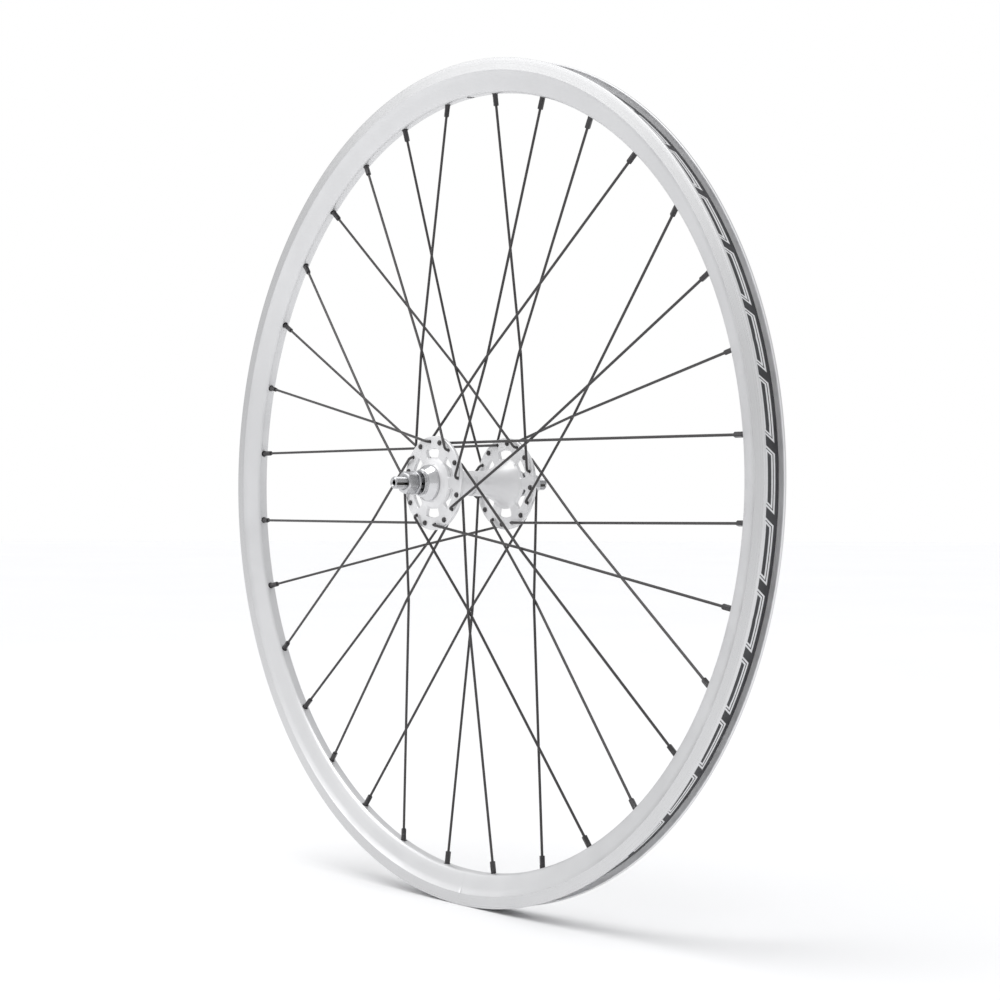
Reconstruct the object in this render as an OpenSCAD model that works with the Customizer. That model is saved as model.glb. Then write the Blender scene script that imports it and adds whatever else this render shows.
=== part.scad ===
// Spoked bicycle front wheel: double-wall alloy rim, three-cross black spokes, high-flange hub
// on sealed cartridge bearings, and a solid threaded axle with nuts.
// Units are millimetres. The origin is the centre of the wheel, and the axle runs along Y.
// The right side is -Y and the left side is +Y. The valve hole is at the top, on +Z.
// Angles about the axle run from +X towards +Z.

/* [Rim] */
// Diameter of the rim over the bead hooks
rim_outer_d = 633; // [628:1:640]
// Diameter of the tyre's bead seat
bead_seat_d = 622; // [618:1:623]
// Width of the rim across the brake tracks
rim_width = 20; // [19:0.5:24]
// Depth of the rim from the bead hooks to the inner face
rim_depth = 25; // [24:0.5:30]
// Radial height of the flat brake tracks
brake_track_h = 9; // [8:0.5:10]
// Thickness of the rim's side walls
rim_wall = 1.6; // [1.4:0.1:1.8]
// Diameter of the valve hole
valve_hole_d = 6.5; // [6:0.1:7]
// Diameter of the nipple holes through the inner wall
nipple_hole_d = 4.8; // [4.8:0.1:5.2]
// Diameter of the access holes through the tyre bed
access_hole_d = 8.4; // [7:0.1:9]

/* [Rim tape] */
// Width of the rim tape
tape_width = 16; // [12:0.5:16.4]
// Thickness of the rim tape
tape_t = 0.6; // [0.4:0.1:1]

/* [Spokes] */
// Number of spokes
spoke_count = 32; // [24, 28, 32]
// Number of spokes that each spoke crosses on its way out
crosses = 3; // [2, 3]
// Diameter of the spoke wire
spoke_d = 2; // [1.8:0.1:2]
// Centreline radius of the bend beside the spoke's head
elbow_r = 2.5; // [2.4:0.1:3]
// Centreline radius of the slight bend where two spokes are interlaced
kink_r = 40; // [30:5:60]
// Diameter of the nipple's round shank
nipple_d = 4; // [3.8:0.1:4]
// Length of the nipple below its head
nipple_len = 11; // [10:0.5:13]

/* [Hub] */
// Distance between the middles of the two flanges
flange_spacing = 69; // [68:0.5:72]
// Diameter of the flanges
flange_d = 70; // [69:0.5:74]
// Thickness of the flanges
flange_t = 3; // [2.8:0.1:3.4]
// Diameter of the circle of spoke holes
hole_circle_d = 62; // [61:0.5:63]
// Diameter of the hub barrel at its waist
waist_d = 19; // [18.8:0.1:21]
// Number of windows cut in each flange
window_count = 6; // [3:1:6]

/* [Axle] */
// Distance between the two faces that the fork ends sit against
over_locknut = 100; // [100:1:102]
// Length of the axle
axle_len = 144; // [142:1:150]
// Diameter of the threaded axle
axle_d = 9; // [9:0.1:9.2]
// Pitch of the axle's thread
thread_pitch = 1; // [0.75, 1, 1.25]
// Thickness of the fork end that fits between locknut and washer
fork_end_t = 2.5; // [1:0.5:3]
// Width of the axle nut across its flats
nut_af = 15; // [14:1:16]
// Height of the axle nut
nut_h = 8.5; // [8:0.5:9]

/* [Hidden] */
$fn = 72;
right = -1;
left = 1;

per_side = spoke_count / 2;
function side_name(side) = side == right ? "right" : "left";
function spoke_name(side, i) = str("spoke_", side_name(side), "_", i < 9 ? "0" : "", i + 1);
function sided(name) = [for (side = [right, left]) str(side_name(side), "_", name)];

// Rim section, as radii from the axle and half widths
hook_r = rim_outer_d / 2;
bead_r = bead_seat_d / 2;
inner_r = hook_r - rim_depth;
seat_r = inner_r + 2;
bed_t = 1.6;
half_w = rim_width / 2;
track_end_r = hook_r - brake_track_h;
side_y = half_w - 0.4;
foot_y = 5;
foot_r = inner_r + 2.9;
foot_round = 3.4;
side_slope = (side_y - foot_y) / (track_end_r - 0.4 - foot_r);
tape_hole_d = valve_hole_d + 1.5;
rim_fn = 180;

// Spoke pattern
pitch_a = 360 / spoke_count;
lean_a = 2 * crosses * pitch_a;
last_cross_a = (2 * crosses - 1) * pitch_a;
hole_r = hole_circle_d / 2;
flange_y = flange_spacing / 2;
flange_in_y = flange_y - flange_t / 2;
flange_out_y = flange_y + flange_t / 2;
flange_edge = 0.8;
spoke_r = spoke_d / 2;
bend_extra = 0.05;
bend_lap = 0.3;
spoke_gap = 0.2;
head_r = spoke_d;
head_h = 1.6;
spoke_hole_r = spoke_r + 0.3;

// Bearings, 26 mm over the outer race, 10 mm bore, 8 mm wide
bearing_r = 13;
bearing_bore_r = 5;
bearing_w = 8;
ball_count = 7;
ball_r = 2.38;
ball_pitch_r = (bearing_r + bearing_bore_r) / 2;
groove_r = ball_r + 0.05;
outer_land_r = 10.7;
inner_land_r = 7.25;
seal_seat_r = 11.2;
seal_t = 0.6;
cage_t = 1.6;
cage_w = 5.9;

// Hub shell along the axle
bearing_in_y = flange_in_y - 2;
bearing_y = bearing_in_y + bearing_w / 2;
shell_end_y = bearing_in_y + bearing_w;
shell_bore_r = 8;
boss_r = 19;
window_r = 22.4;
window_h = 6.6;
window_span = 19;
window_corner_r = 1.6;
flare_start_y = 8;

// Axle hardware along the axle
axle_r = axle_d / 2;
thread_gap = 0.05;
thread_lead = thread_pitch / 2;
cap_gap = 0.4;
cap_r = 13.5;
cap_rim_y = shell_end_y + cap_gap;
nose_r = 10.2;
locknut_y = over_locknut / 2 - 3.5;
dropout_y = over_locknut / 2;
washer_y = dropout_y + fork_end_t;
washer_r = 9;
washer_t = 1.5;
nut_y = washer_y + washer_t;
nut_corner_a = 42;
keyway_a = -12;
centre_hole_r = 2;
centre_hole_len = 10;

alloy = [0.86, 0.87, 0.88];
hub_silver = [0.84, 0.84, 0.87];
chrome = [0.72, 0.73, 0.75];
steel = [0.6, 0.61, 0.63];
black = [0.06, 0.06, 0.07];

// ---- Helpers ----

// Turns a shape made about Z so that it lies about the axle, with its +Z along +Y
module about_axle() rotate([-90, 0, 0]) children();

// Puts children on the given side; they are made for the left side
module on_side(side) mirror([0, side == right ? 1 : 0, 0]) children();

// Turns children about the axle by an angle from +X towards +Z
module turn(a) rotate([0, -a, 0]) children();

// A point at a radius and an angle about the axle, at a place along it
function polar(r, a, y) = [r * cos(a), y, r * sin(a)];

function unit(v) = v / norm(v);

// Points on an arc, for outlines
function arc(centre, r, a0, a1, n) =
    [for (i = [0 : n]) centre + r * [cos(a0 + (a1 - a0) * i / n), sin(a0 + (a1 - a0) * i / n)]];

// Closes a half outline, drawn for y >= 0, with its mirror image
function both_halves(half) =
    concat(half, [for (i = [len(half) - 1 : -1 : 0]) if (half[i][1] > 0) [half[i][0], -half[i][1]]]);

// A round bar between two points
module bar(from, to, r) {
    d = to - from;
    translate(from)
        rotate([0, acos(d[2] / norm(d)), atan2(d[1], d[0])])
            cylinder(r = r, h = norm(d));
}

// ---- Rim ----

// Outline of the rim section: tyre bed, bead hook, brake track, sloping wall and inner face
function rim_outline() = let (
        wall_y = half_w - rim_wall,
        hook_y = wall_y - 0.5,
        lip_r = 0.5
    ) both_halves(concat(
        [[bead_r, 0], [bead_r, wall_y - 0.2], [bead_r + 0.3, wall_y],
         [hook_r - 1.9, wall_y], [hook_r - 1.4, hook_y], [hook_r - 0.6, hook_y]],
        arc([hook_r - lip_r, hook_y + lip_r + 0.3], lip_r, -60, 0, 3),
        arc([hook_r - lip_r, half_w - lip_r], lip_r, 0, 90, 4),
        [[track_end_r, half_w], [track_end_r - 0.4, side_y], [foot_r, foot_y]],
        arc([inner_r + foot_round, foot_y - foot_round], foot_round, 112, 180, 6),
        [[inner_r, 0]]));

// Outline of the hollow inside the rim, drawn smaller by an inset
function cavity_outline(inset) = let (
        top_r = bead_r - bed_t - inset,
        top_y = half_w - rim_wall - inset,
        floor_r = seat_r + inset,
        wall = 1.3 + inset,
        y_at = function (r) side_y - wall / cos(atan(side_slope)) - (track_end_r - 0.4 - r) * side_slope,
        meet_r = track_end_r - 0.4 - (side_y - wall / cos(atan(side_slope)) - top_y) / side_slope
    ) both_halves([
        [top_r, 0], [top_r, top_y - 0.6], [top_r - 0.6, top_y],
        [min(meet_r, top_r - 0.8), top_y], [floor_r + 0.4, y_at(floor_r + 0.4)],
        [floor_r, y_at(floor_r) - 0.3], [floor_r, 0]]);

module valve_drill(d) translate([0, 0, inner_r - 5]) cylinder(d = d, h = rim_depth + 10);

module rim() {
    color(alloy) difference() {
        about_axle() rotate_extrude($fn = rim_fn) difference() {
            polygon(rim_outline());
            polygon(cavity_outline(0));
        }
        for (i = [0 : spoke_count - 1]) turn((i + 0.5) * pitch_a) {
            translate([inner_r - 2, 0, 0]) rotate([0, 90, 0]) cylinder(d = nipple_hole_d, h = 8);
            translate([bead_r - 5, 0, 0]) rotate([0, 90, 0]) cylinder(d = access_hole_d, h = 8);
        }
        valve_drill(valve_hole_d);
    }
}

module rim_tape() {
    color(black) difference() {
        about_axle() rotate_extrude($fn = rim_fn)
            translate([bead_r, -tape_width / 2]) square([tape_t, tape_width]);
        valve_drill(tape_hole_d);
    }
}

// Hollow insert that joins the two ends of the rim, opposite the valve hole
module rim_joint_sleeve() {
    sleeve_a = pitch_a * 0.82;
    color(alloy) turn(270 + sleeve_a / 2) about_axle() rotate_extrude(angle = sleeve_a, $fn = rim_fn)
        difference() {
            polygon(cavity_outline(0.2));
            polygon(cavity_outline(1.4));
        }
}

// ---- Spokes ----
// Every spoke is made once for the left flange, with its hub hole at angle 0 and its rim hole
// at lean_a. An outer spoke leaves the flange's outer face, and an inner spoke its inner face.
// At the last crossing the outer spoke passes inside the inner one.

function shank_dir(outer) = [0, outer ? 1 : -1, 0];
function elbow_start(outer) = [hole_r, outer ? flange_out_y : flange_in_y, 0];
rim_point = polar(seat_r, lean_a, 0);
cross_share = let (h = hole_r * sin(last_cross_a))
    h / (h + seat_r * sin(lean_a - last_cross_a));
cross_r = hole_r * cos(last_cross_a) * (1 - cross_share)
    + seat_r * cos(lean_a - last_cross_a) * cross_share;
function cross_point(outer) = polar(cross_r, last_cross_a,
    flange_y * (1 - cross_share) + (outer ? -1 : 1) * (spoke_r + spoke_gap / 2));

// A bend of radius r that starts at a point along direction u and ends along direction w.
// It is slightly fatter than the wire, as a forged bend is, and the straight runs lap into it.
function bend_side(u, w) = unit(w - (w * u) * u);
function bend_end(start, u, w, r) = let (v = bend_side(u, w), a = acos(u * w))
    start + r * v * (1 - cos(a)) + r * u * sin(a);
module bend(start, u, w, r) {
    v = bend_side(u, w);
    k = start + r * v;
    z = cross(-v, u);
    multmatrix([[-v[0], u[0], z[0], k[0]], [-v[1], u[1], z[1], k[1]], [-v[2], u[2], z[2], k[2]]])
        rotate_extrude(angle = acos(u * w), $fn = 48)
            translate([r, 0]) circle(r = spoke_r + bend_extra, $fn = 24);
}

// Direction from the end of the elbow to the crossing, found in a few rounds
function run_dir(outer, w, rounds) = rounds == 0 ? w
    : run_dir(outer, unit(cross_point(outer)
        - bend_end(elbow_start(outer), shank_dir(outer), w, elbow_r)), rounds - 1);

function first_run(outer) =
    run_dir(outer, unit(cross_point(outer) - elbow_start(outer)), 6);
function last_run(outer) = unit(rim_point - cross_point(outer));

module spoke_wire(outer) {
    u = shank_dir(outer);
    start = elbow_start(outer);
    w = first_run(outer);
    e = last_run(outer);
    c = cross_point(outer);
    reach = kink_r * tan(acos(w * e) / 2);
    bar(start - u * (flange_t + head_h / 2), start + u * bend_lap, spoke_r);
    bend(start, u, w, elbow_r);
    bar(bend_end(start, u, w, elbow_r) - w * bend_lap, c - w * (reach - bend_lap), spoke_r);
    bend(c - w * reach, w, e, kink_r);
    bar(c + e * (reach - bend_lap), rim_point + e * 0.5, spoke_r);
    translate(start - u * flange_t) rotate([outer ? 90 : -90, 0, 0])
        rotate_extrude($fn = 48)
            polygon([[0, 0], [head_r, 0], [head_r, 0.7], [head_r * 0.72, head_h * 0.85], [0, head_h]]);
}

module nipple(outer) {
    e = last_run(outer);
    flats = nipple_d * 0.82;
    translate(rim_point) rotate([0, acos(e[2]), atan2(e[1], e[0])]) difference() {
        union() {
            rotate_extrude($fn = 48)
                polygon([[0, -4], [nipple_d / 2, -4], [nipple_d / 2, -0.1], [2.9, 0.6], [2.9, 1.9],
                         [2.3, 2.5], [0, 2.5]]);
            intersection() {
                translate([-flats / 2, -flats / 2, -nipple_len]) cube([flats, flats, nipple_len - 4]);
                translate([0, 0, -nipple_len]) cylinder(d = nipple_d, h = nipple_len - 4);
            }
        }
        translate([0, 0, -nipple_len - 1]) cylinder(r = spoke_r + 0.05, h = nipple_len + 5);
        translate([-4, -0.5, 1.3]) cube([8, 1, 3]);
    }
}

// Puts a spoke or nipple, made in the standard place, at its own place in the wheel
module place_spoke(side, i) {
    first_a = side == right ? pitch_a / 2 : pitch_a * 1.5;
    on_side(side) turn(first_a + 2 * pitch_a * i) mirror([0, 0, i % 2]) children();
}
function is_outer(side, i) = side == right ? i % 2 == 0 : i % 2 == 1;

module spoke(side, i) color(black) place_spoke(side, i) spoke_wire(is_outer(side, i));

module spoke_nipples(side)
    for (i = [0 : per_side - 1]) color(black) place_spoke(side, i) nipple(is_outer(side, i));

// ---- Hub shell ----

// Section of one half of the barrel, from the waist along a long flare to the flange
module barrel_section() {
    waist_r = waist_d / 2;
    run = flange_in_y - flare_start_y;
    rise = boss_r - waist_r;
    flare_r = (run * run + rise * rise) / (2 * rise);
    lap = 1;
    difference() {
        polygon([[shell_bore_r, 0], [waist_r, 0], [waist_r, flare_start_y], [boss_r, flange_in_y],
                 [boss_r, flange_in_y + lap], [bearing_r, flange_in_y + lap],
                 [bearing_r, bearing_in_y], [shell_bore_r, bearing_in_y]]);
        translate([waist_r + flare_r, flare_start_y]) circle(r = flare_r, $fn = 240);
    }
}

// Section of one flange and the boss round its bearing seat
module flange_section() {
    edge_r = flange_d / 2;
    polygon(concat(
        [[bearing_r, flange_in_y]],
        arc([edge_r - flange_edge, flange_in_y + flange_edge], flange_edge, -90, 0, 3),
        arc([edge_r - flange_edge, flange_out_y - flange_edge], flange_edge, 0, 90, 3),
        [[boss_r, flange_out_y], [boss_r - 2, flange_out_y + 0.6],
         [cap_r + 0.5, shell_end_y - 0.4], [cap_r + 0.1, shell_end_y], [bearing_r, shell_end_y]]));
}

// A window with rounded corners, cut through a flange, centred on angle 0
module window_cutter() {
    lo = window_r - window_h / 2;
    hi = window_r + window_h / 2;
    c = window_corner_r;
    side_a = function (r) asin(c / r);
    about_axle() {
        rotate([0, 0, -window_span]) rotate_extrude(angle = 2 * window_span)
            translate([lo + c, -3]) square([window_h - 2 * c, 6]);
        trim = side_a(lo + c);
        rotate([0, 0, -window_span + trim]) rotate_extrude(angle = 2 * (window_span - trim))
            translate([lo, -3]) square([window_h, 6]);
        for (r = [lo + c, hi - c], s = [-1, 1])
            rotate([0, 0, s * (window_span - side_a(r))]) translate([r, 0, -3]) cylinder(r = c, h = 6);
    }
}

module hub_shell() {
    color(hub_silver) difference() {
        for (side = [right, left]) on_side(side) about_axle() rotate_extrude() {
            barrel_section();
            flange_section();
        }
        for (side = [right, left]) translate([0, side * flange_y, 0]) {
            first_a = side == right ? pitch_a / 2 : pitch_a * 1.5;
            for (i = [0 : per_side - 1]) turn(first_a + 2 * pitch_a * i)
                translate([hole_r, 0, 0]) rotate([90, 0, 0])
                    cylinder(r = spoke_hole_r, h = flange_t + 4, center = true);
            for (i = [0 : window_count - 1]) turn(30 + 360 / window_count * i) window_cutter();
        }
    }
}

// ---- Bearings ----

module at_bearing(side) on_side(side) translate([0, bearing_y, 0]) about_axle() children();
half_b = bearing_w / 2;
seal_in = half_b - seal_t - 0.1;

module bearing_outer_race(side) {
    color(steel) at_bearing(side) rotate_extrude() difference() {
        polygon(both_halves([[outer_land_r, 0], [outer_land_r, seal_in], [seal_seat_r, seal_in],
            [seal_seat_r, half_b], [bearing_r - 0.3, half_b], [bearing_r, half_b - 0.3], [bearing_r, 0]]));
        translate([ball_pitch_r, 0]) circle(r = groove_r, $fn = 48);
    }
}

module bearing_inner_race(side) {
    color(steel) at_bearing(side) rotate_extrude() difference() {
        polygon(both_halves([[bearing_bore_r, 0], [bearing_bore_r, half_b], [inner_land_r - 0.2, half_b],
            [inner_land_r, half_b - 0.2], [inner_land_r, 0]]));
        translate([ball_pitch_r, 0]) circle(r = groove_r, $fn = 48);
    }
}

module bearing_cage(side) {
    color("goldenrod") at_bearing(side) difference() {
        rotate_extrude() translate([ball_pitch_r - cage_t / 2, -cage_w / 2]) square([cage_t, cage_w]);
        for (i = [0 : ball_count - 1]) rotate([0, 0, i * 360 / ball_count])
            rotate([0, 90, 0]) cylinder(r = groove_r, h = ball_pitch_r + 3);
    }
}

module bearing_balls(side) {
    color(chrome) at_bearing(side) for (i = [0 : ball_count - 1])
        rotate([0, 0, i * 360 / ball_count]) translate([ball_pitch_r, 0, 0]) sphere(r = ball_r, $fn = 48);
}

module bearing_seals(side) {
    color(black) at_bearing(side) for (s = [0, 1]) mirror([0, 0, s])
        rotate_extrude() translate([inner_land_r + 0.3, seal_in])
            square([seal_seat_r - inner_land_r - 0.3, seal_t]);
}

// ---- Axle and its hardware ----

module axle() {
    half_l = axle_len / 2;
    tip = 0.8;
    key_w = 2;
    key_depth = 1.1;
    key_len = half_l - locknut_y;
    color(chrome) difference() {
        about_axle() rotate_extrude() polygon(both_halves([
            [0, half_l], [axle_r - tip, half_l], [axle_r, half_l - tip]]));
        for (side = [right, left]) on_side(side) {
            translate([0, half_l, 0]) rotate([90, 0, 0]) {
                translate([0, 0, -1]) cylinder(r = centre_hole_r, h = centre_hole_len + 1);
                translate([0, 0, centre_hole_len - 0.01]) cylinder(r1 = centre_hole_r, r2 = 0, h = 1.2);
            }
            turn(keyway_a) translate([axle_r - key_depth, half_l - key_len, -key_w / 2])
                cube([3, key_len + 1, key_w]);
        }
    }
}

// Tube that holds the two inner races apart
module axle_spacer() {
    color(alloy) about_axle() rotate_extrude()
        translate([axle_r + thread_gap, -bearing_in_y]) square([2.2, 2 * bearing_in_y]);
}

// Threaded cap whose stub fits inside the inner race and whose skirt covers the end of the hub
module end_cap(side) {
    bore = axle_r + thread_gap;
    color(chrome) on_side(side) about_axle() rotate_extrude() polygon([
        [bore, bearing_in_y], [bearing_bore_r, bearing_in_y], [bearing_bore_r, shell_end_y],
        [inner_land_r - 0.2, shell_end_y], [inner_land_r - 0.2, cap_rim_y],
        [cap_r - 0.3, cap_rim_y], [cap_r, cap_rim_y + 0.3], [cap_r, cap_rim_y + 1.6],
        [cap_r - 0.5, cap_rim_y + 2.1], [nose_r + 0.5, locknut_y - 0.4], [nose_r + 0.2, locknut_y],
        [bore, locknut_y]]);
}

module locknut(side) {
    flats = 17;
    h = dropout_y - locknut_y;
    color(chrome) on_side(side) translate([0, locknut_y, 0]) about_axle() intersection() {
        rotate_extrude() polygon([[axle_r + thread_gap, 0], [nose_r, 0], [nose_r, h - 0.4],
            [nose_r - 0.4, h], [axle_r + thread_gap + thread_lead, h],
            [axle_r + thread_gap, h - thread_lead]]);
        translate([-nose_r - 1, -flats / 2, -1]) cube([2 * nose_r + 2, flats, h + 2]);
    }
}

module axle_washer(side) {
    color(chrome) on_side(side) translate([0, washer_y, 0]) about_axle() rotate_extrude()
        polygon([[axle_r + 0.1, 0], [washer_r, 0], [washer_r, washer_t - 0.3],
                 [washer_r - 0.3, washer_t], [axle_r + 0.1, washer_t]]);
}

module axle_nut(side) {
    corner_r = nut_af / 2 / cos(30);
    bevel = corner_r - nut_af / 2;
    bore = axle_r + thread_gap;
    color(chrome) on_side(side) translate([0, nut_y, 0]) about_axle() intersection() {
        rotate([0, 0, -nut_corner_a]) cylinder(r = corner_r, h = nut_h, $fn = 6);
        rotate_extrude() polygon([
            [bore + thread_lead, 0], [corner_r + 0.2 - bevel, 0], [corner_r + 0.2, bevel * 0.6],
            [corner_r + 0.2, nut_h - bevel * 0.6], [corner_r + 0.2 - bevel, nut_h],
            [bore + thread_lead, nut_h], [bore, nut_h - thread_lead], [bore, thread_lead]]);
    }
}

// ---- Nodes ----

rim();
rim_tape();
rim_joint_sleeve();
hub_shell();
axle();
axle_spacer();
for (side = [right, left]) {
    part = side_name(side);
    for (i = [0 : per_side - 1])
        spoke(side, i);
    spoke_nipples(side);
    bearing_outer_race(side);
    bearing_inner_race(side);
    bearing_cage(side);
    bearing_balls(side);
    bearing_seals(side);
    end_cap(side);
    locknut(side);
    axle_washer(side);
    axle_nut(side);
}
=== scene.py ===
"""Looks for a spoked bicycle front wheel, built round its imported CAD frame.

The axle runs along Y, with the right side at -Y; angles about it run from +X towards +Z, and the
valve hole is at the top. Shapes are worked out in millimetres and scaled to metres as meshes.
"""

import math

import bmesh
import bpy
from mathutils import Matrix, Vector


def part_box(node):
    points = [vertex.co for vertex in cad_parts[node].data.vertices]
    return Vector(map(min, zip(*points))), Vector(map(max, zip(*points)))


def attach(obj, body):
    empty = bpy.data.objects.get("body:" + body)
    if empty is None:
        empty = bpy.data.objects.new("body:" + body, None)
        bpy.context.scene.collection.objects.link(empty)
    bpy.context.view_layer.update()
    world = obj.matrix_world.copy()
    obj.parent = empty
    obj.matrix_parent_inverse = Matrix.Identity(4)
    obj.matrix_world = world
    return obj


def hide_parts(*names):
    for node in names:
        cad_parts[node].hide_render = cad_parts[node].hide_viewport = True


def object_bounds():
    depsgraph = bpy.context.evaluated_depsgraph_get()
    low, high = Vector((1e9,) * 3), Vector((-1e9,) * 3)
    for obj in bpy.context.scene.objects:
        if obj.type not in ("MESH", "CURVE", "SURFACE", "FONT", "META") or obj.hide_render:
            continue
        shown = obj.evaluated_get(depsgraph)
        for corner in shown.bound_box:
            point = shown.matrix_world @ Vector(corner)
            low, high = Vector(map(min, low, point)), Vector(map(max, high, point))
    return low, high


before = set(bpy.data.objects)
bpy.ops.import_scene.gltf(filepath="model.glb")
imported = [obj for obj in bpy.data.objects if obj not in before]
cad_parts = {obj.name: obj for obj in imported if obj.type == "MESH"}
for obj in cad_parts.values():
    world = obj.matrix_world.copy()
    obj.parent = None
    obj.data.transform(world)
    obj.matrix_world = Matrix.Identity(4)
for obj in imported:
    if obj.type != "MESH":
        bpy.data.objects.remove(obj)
cad_lo, cad_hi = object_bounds()

MM = 0.001
TAU = 2 * math.pi
RIGHT, LEFT = -1, 1
SIDES = {"right": RIGHT, "left": LEFT}
SHARP = math.radians(32)


def high_mm(node):
    """The highest corner of a CAD node, in millimetres."""
    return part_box(node)[1] / MM


def reach_mm(node):
    """Where a node of the left side starts and ends along the axle, in millimetres."""
    low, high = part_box(node)
    return low.y / MM, high.y / MM


# ---- Sizes in millimetres, from the frame where a node's box gives them ----

HOOK_R = high_mm("rim").x
HALF_W = high_mm("rim").y
RIM_DEPTH = 25.0
RIM_WALL = 1.6
INNER_WALL = 2.0
BRAKE_TRACK_H = 9.0
INNER_R = HOOK_R - RIM_DEPTH
SEAT_R = INNER_R + INNER_WALL
TAPE_R = high_mm("rim_tape").x
TAPE_T = 0.6
TAPE_HALF_W = high_mm("rim_tape").y
BEAD_R = TAPE_R - TAPE_T
TRACK_END_R = HOOK_R - BRAKE_TRACK_H
VALVE_R = 3.25
TAPE_HOLE_R = 4.0
NIPPLE_HOLE_R = 2.4
ACCESS_R = 4.2
HOLE_CHAMFER = 0.3
SEAM_A = math.radians(270)
SEAM_HALF_W = 0.12

SPOKE_COUNT = 32
PER_SIDE = SPOKE_COUNT // 2
PITCH_A = TAU / SPOKE_COUNT
CROSSES = 3
LEAN_A = 2 * CROSSES * PITCH_A
LAST_CROSS_A = (2 * CROSSES - 1) * PITCH_A
SPOKE_R = 1.0
SPOKE_HOLE_R = 1.3
SPOKE_GAP = 0.2
ELBOW_R = 2.5
KINK_R = 40.0
NIPPLE_LEN = 11.0
NIPPLE_FLATS = 3.32

FLANGE_R = high_mm("hub_shell").x
SHELL_END_Y = high_mm("hub_shell").y
FLANGE_Y = 34.5
FLANGE_T = 3.0
HOLE_R = 31.0
WAIST_R = 9.5
BOSS_R = 19.0
FLARE_START_Y = 8.0
SHELL_BORE_R = 8.0
BEARING_R = 13.0
BEARING_BORE_R = 5.0
BEARING_IN_Y = 31.0
WINDOW_COUNT = 6
WINDOW_R = 22.4
WINDOW_H = 6.6
WINDOW_SPAN = math.radians(19)
WINDOW_CORNER = 1.6

AXLE_R = high_mm("axle").z
AXLE_HALF = high_mm("axle").y
THREAD_PITCH = 1.0
THREAD_DEPTH = 0.55
THREAD_STEPS = 9
BORE_R = AXLE_R + 0.05
CAP_R = high_mm("left_end_cap").x
CAP_GAP = 0.4
CAP_STUB_R = 7.05
LOCKNUT_R = high_mm("left_locknut").x
WASHER_R = high_mm("left_axle_washer").x
NUT_AF = 15.0
NUT_CORNER_A = math.radians(42)
NUT_REACH = reach_mm("left_axle_nut")
WASHER_REACH = reach_mm("left_axle_washer")
LOCKNUT_REACH = reach_mm("left_locknut")
LOCKNUT_FLATS = 17.0
THREAD_FROM = LOCKNUT_REACH[0] - 0.5
TIP_CHAMFER = 0.9
CENTRE_HOLE_R = 2.0
CENTRE_HOLE_LEN = 10.0
KEYWAY_A = math.radians(-12)
KEYWAY_DEPTH = 1.1
KEYWAY_W = 2.0


def polar(r, a, y):
    """A point at a radius and an angle about the axle."""
    return Vector((r * math.cos(a), y, r * math.sin(a)))


def turn(a):
    """Turns about the axle, from +X towards +Z."""
    return Matrix.Rotation(-a, 4, "Y")


def arc(u, v, r, start, end, steps):
    """Points on an arc of an outline, with its angles in degrees."""
    angles = [math.radians(start + (end - start) * i / steps) for i in range(steps + 1)]
    return [(u + r * math.cos(a), v + r * math.sin(a)) for a in angles]


def both_halves(half):
    """Closes a half outline, drawn for y >= 0, with its mirror image."""
    return half + [(r, -y) for r, y in reversed(half) if y > 1e-6]


# ---- Mesh helpers ----


def even_angles(count):
    return [TAU * i / count for i in range(count)]


def signed_area(outline):
    pairs = zip(outline, outline[1:] + outline[:1])
    return sum(a[0] * b[1] - b[0] * a[1] for a, b in pairs) / 2


def revolve(bm, outline, angles, hollow=False, shape=None, paint=None):
    """Turns a closed outline of (radius, y) about the axle. shape bends each point, and paint
    gives each face its material from the radius and y of its middle."""
    if (signed_area(outline) < 0) != hollow:
        outline = outline[::-1]
    rings = []
    for r, y in outline:
        bent = [shape(r, y, a) if shape else (r, y) for a in angles]
        if max(p[0] for p in bent) < 1e-6:
            rings.append([bm.verts.new((0, y, 0))] * len(angles))
        else:
            rings.append([bm.verts.new(polar(p[0], a, p[1])) for p, a in zip(bent, angles)])
    for i, near in enumerate(rings):
        far = rings[(i + 1) % len(rings)]
        middle = [(a + b) / 2 for a, b in zip(outline[i], outline[(i + 1) % len(outline)])]
        for k in range(len(angles)):
            n = (k + 1) % len(angles)
            corners = list(dict.fromkeys((near[k], far[k], far[n], near[n])))
            if len(corners) > 2:
                face = bm.faces.new(corners)
                face.material_index = paint(*middle) if paint else 0


def loft(bm, rings):
    """Joins closed rings of points with the same count, and closes both ends."""
    rows = [[bm.verts.new(p) for p in ring] for ring in rings]
    count = len(rows[0])
    for near, far in zip(rows, rows[1:]):
        for k in range(count):
            n = (k + 1) % count
            bm.faces.new((near[k], near[n], far[n], far[k]))
    bm.faces.new(rows[0][::-1])
    bm.faces.new(rows[-1])


def circle_ring(centre, across, up, r, count):
    return [centre + r * (across * math.cos(a) + up * math.sin(a)) for a in even_angles(count)]


def drill(bm, start, direction, stations, count=32):
    """A round cutter along a direction, with (distance, radius) stations."""
    across = direction.orthogonal().normalized()
    up = direction.cross(across)
    loft(bm, [circle_ring(start + direction * d, across, up, r, count) for d, r in stations])


def sweep(bm, path, r, sides):
    """A round wire along a path, with closed ends."""
    steps = [(b - a).normalized() for a, b in zip(path, path[1:])]
    across = steps[0].orthogonal().normalized()
    rings = []
    for i, point in enumerate(path):
        before = steps[max(i - 1, 0)]
        after = steps[min(i, len(steps) - 1)]
        tangent = (before + after).normalized()
        across = (across - tangent * across.dot(tangent)).normalized()
        rings.append(circle_ring(point, across, tangent.cross(across), r, sides))
    loft(bm, rings)


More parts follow.
